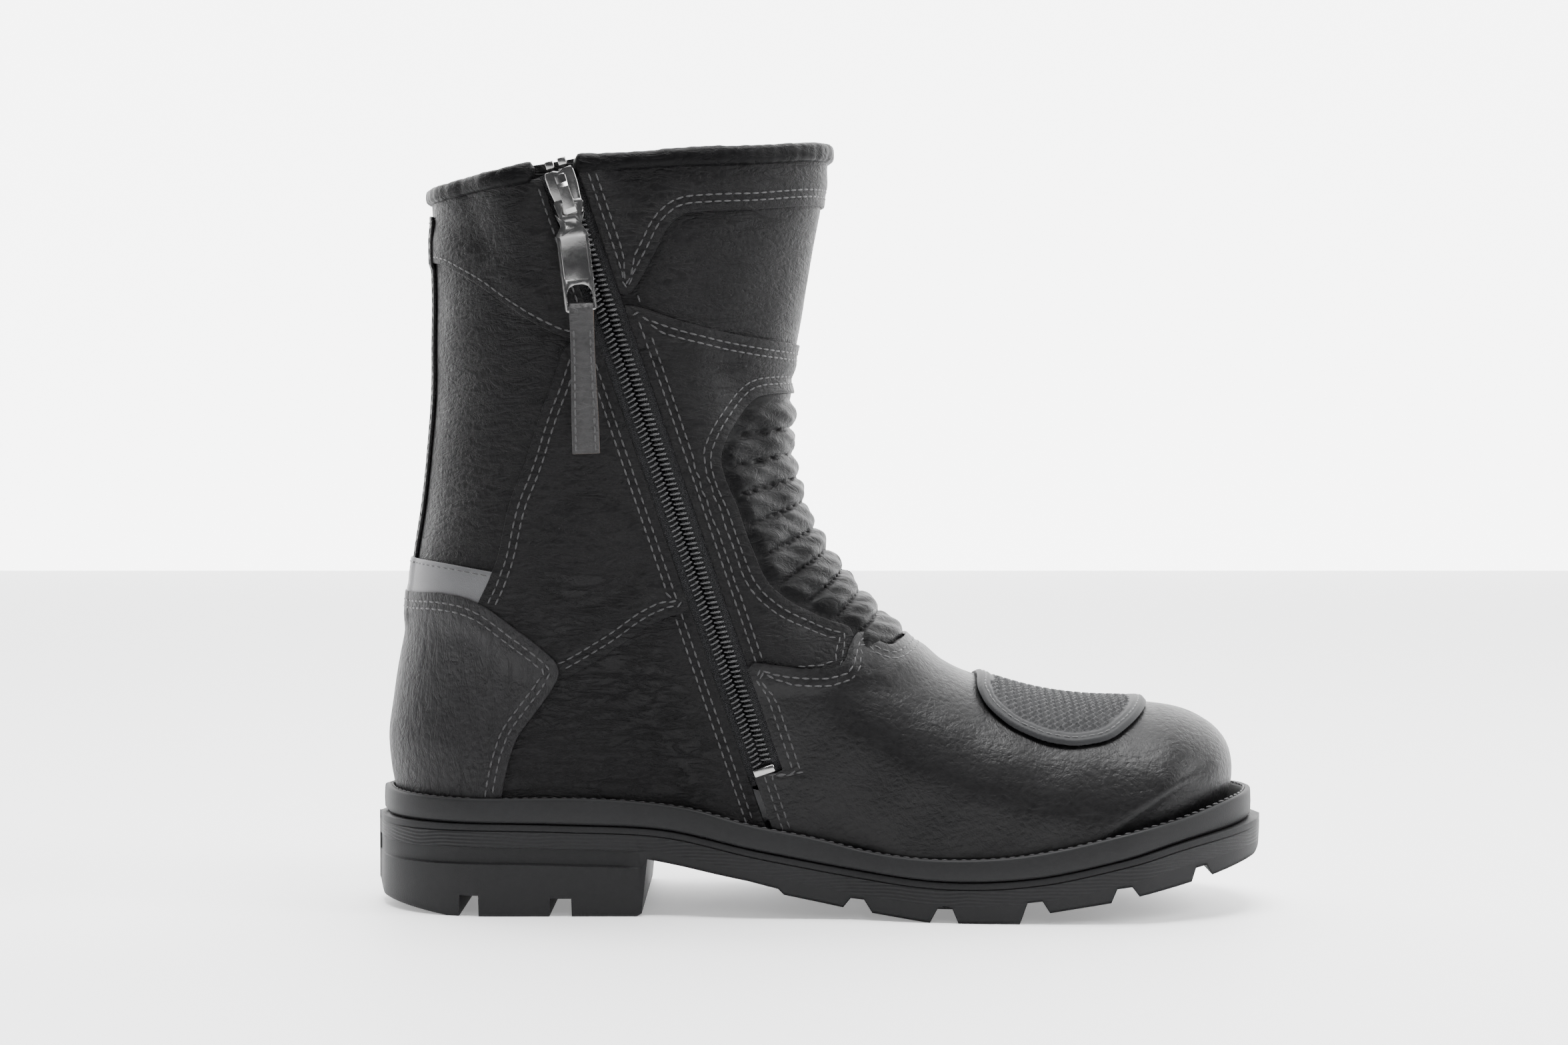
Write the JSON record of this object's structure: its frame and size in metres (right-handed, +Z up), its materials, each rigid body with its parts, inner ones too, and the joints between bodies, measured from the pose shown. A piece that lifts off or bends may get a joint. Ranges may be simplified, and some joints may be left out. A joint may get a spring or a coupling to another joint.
{
  "type": "riding boot",
  "caption": "Ankle-high leather riding boot for the left foot, with a straight side zip, ribbed flex panel at the instep, moulded toe guard and a heeled rubber sole.",
  "frame": {"origin": "on the ground face of the heel, under the middle of the heel seat", "axes": "+X towards the toe, +Y towards the outer side of the foot, +Z up; the zip is on the -Y side"},
  "size_m": [0.31, 0.11, 0.2651],
  "materials": {
    "leather_grain": "black full-grain leather with a semi-matt finish and fine creases",
    "leather_vamp": "black full-grain leather, smoother and with a soft shine",
    "leather_smooth": "black smooth leather with a soft shine",
    "flap_leather": "thin black leather, matt",
    "strap_leather": "black grained leather with raw brown edges",
    "sole_rubber": "matt black moulded rubber",
    "rim_rubber": "matt black moulded rubber with grooves",
    "guard_rubber": "matt black moulded rubber with fine zigzag ribs",
    "reflective_fabric": "dark grey reflective film on fabric",
    "zip_tape": "black woven polyester tape",
    "zip_coil": "black nylon coil with fine highlights",
    "zip_metal": "polished dark nickel plate",
    "lining_fabric": "dark grey mesh lining",
    "pad_foam": "closed-cell foam, hidden",
    "board": "stiffened fibre board, hidden",
    "shank_steel": "spring steel strip, hidden"
  },
  "bodies": {
    "boot": {"outsole": "sole_rubber", "midsole": "rim_rubber", "shank": "shank_steel", "insole_board": "board", "footbed": "lining_fabric", "lining": "lining_fabric", "heel_counter": "board", "toe_puff": "board", "medial_ankle_pad": "pad_foam", "lateral_ankle_pad": "pad_foam", "flex_padding": "pad_foam", "collar_padding_front": "pad_foam", "vamp": "leather_vamp", "toe_guard": "guard_rubber", "medial_quarter": "leather_grain", "lateral_quarter": "leather_grain", "heel_cover": "leather_grain", "reflective_strip": "reflective_fabric", "back_stay": "leather_grain", "medial_back_panel": "leather_grain", "lateral_back_panel": "leather_grain", "medial_rear_top_panel": "leather_grain", "lateral_rear_top_panel": "leather_grain", "medial_ankle_panel": "leather_grain", "lateral_ankle_panel": "leather_grain", "shin_panel": "leather_grain", "collar_band": "leather_grain", "front_yoke": "leather_grain", "flex_panel": "leather_smooth", "collar_piping_front": "leather_smooth", "collar_piping_rear": "leather_smooth", "zip_flap": "flap_leather", "zip_tape_front": "zip_tape", "zip_tape_rear": "zip_tape", "zip_coil_front": "zip_coil", "zip_coil_rear": "zip_coil", "zip_top_stop_front": "zip_metal", "zip_top_stop_rear": "zip_metal", "zip_bottom_stop": "zip_metal"},
    "slider": {"zip_slider": "zip_metal", "slider_bridge": "zip_metal"},
    "pull_tab": {"pull_tab": "zip_metal"},
    "pull_strap": {"pull_strap": "strap_leather"}
  },
  "joints": [
    {"name": "zip_slide", "type": "slide", "parent": "boot", "child": "slider", "axis": [0.3216, 0.0305, -0.9464], "range_m": [0, 0.195]},
    {"name": "pull_tab_hinge", "type": "hinge", "parent": "slider", "child": "pull_tab", "pos_m": [0.02834, -0.05309, 0.24136], "axis": [-0.9925, 0, -0.1219], "range_deg": [0, 110]},
    {"name": "pull_strap_hinge", "type": "hinge", "parent": "pull_tab", "child": "pull_strap", "pos_m": [0.0327, -0.05497, 0.20577], "axis": [-0.9925, 0, -0.1219], "range_deg": [0, 90]}
  ]
}
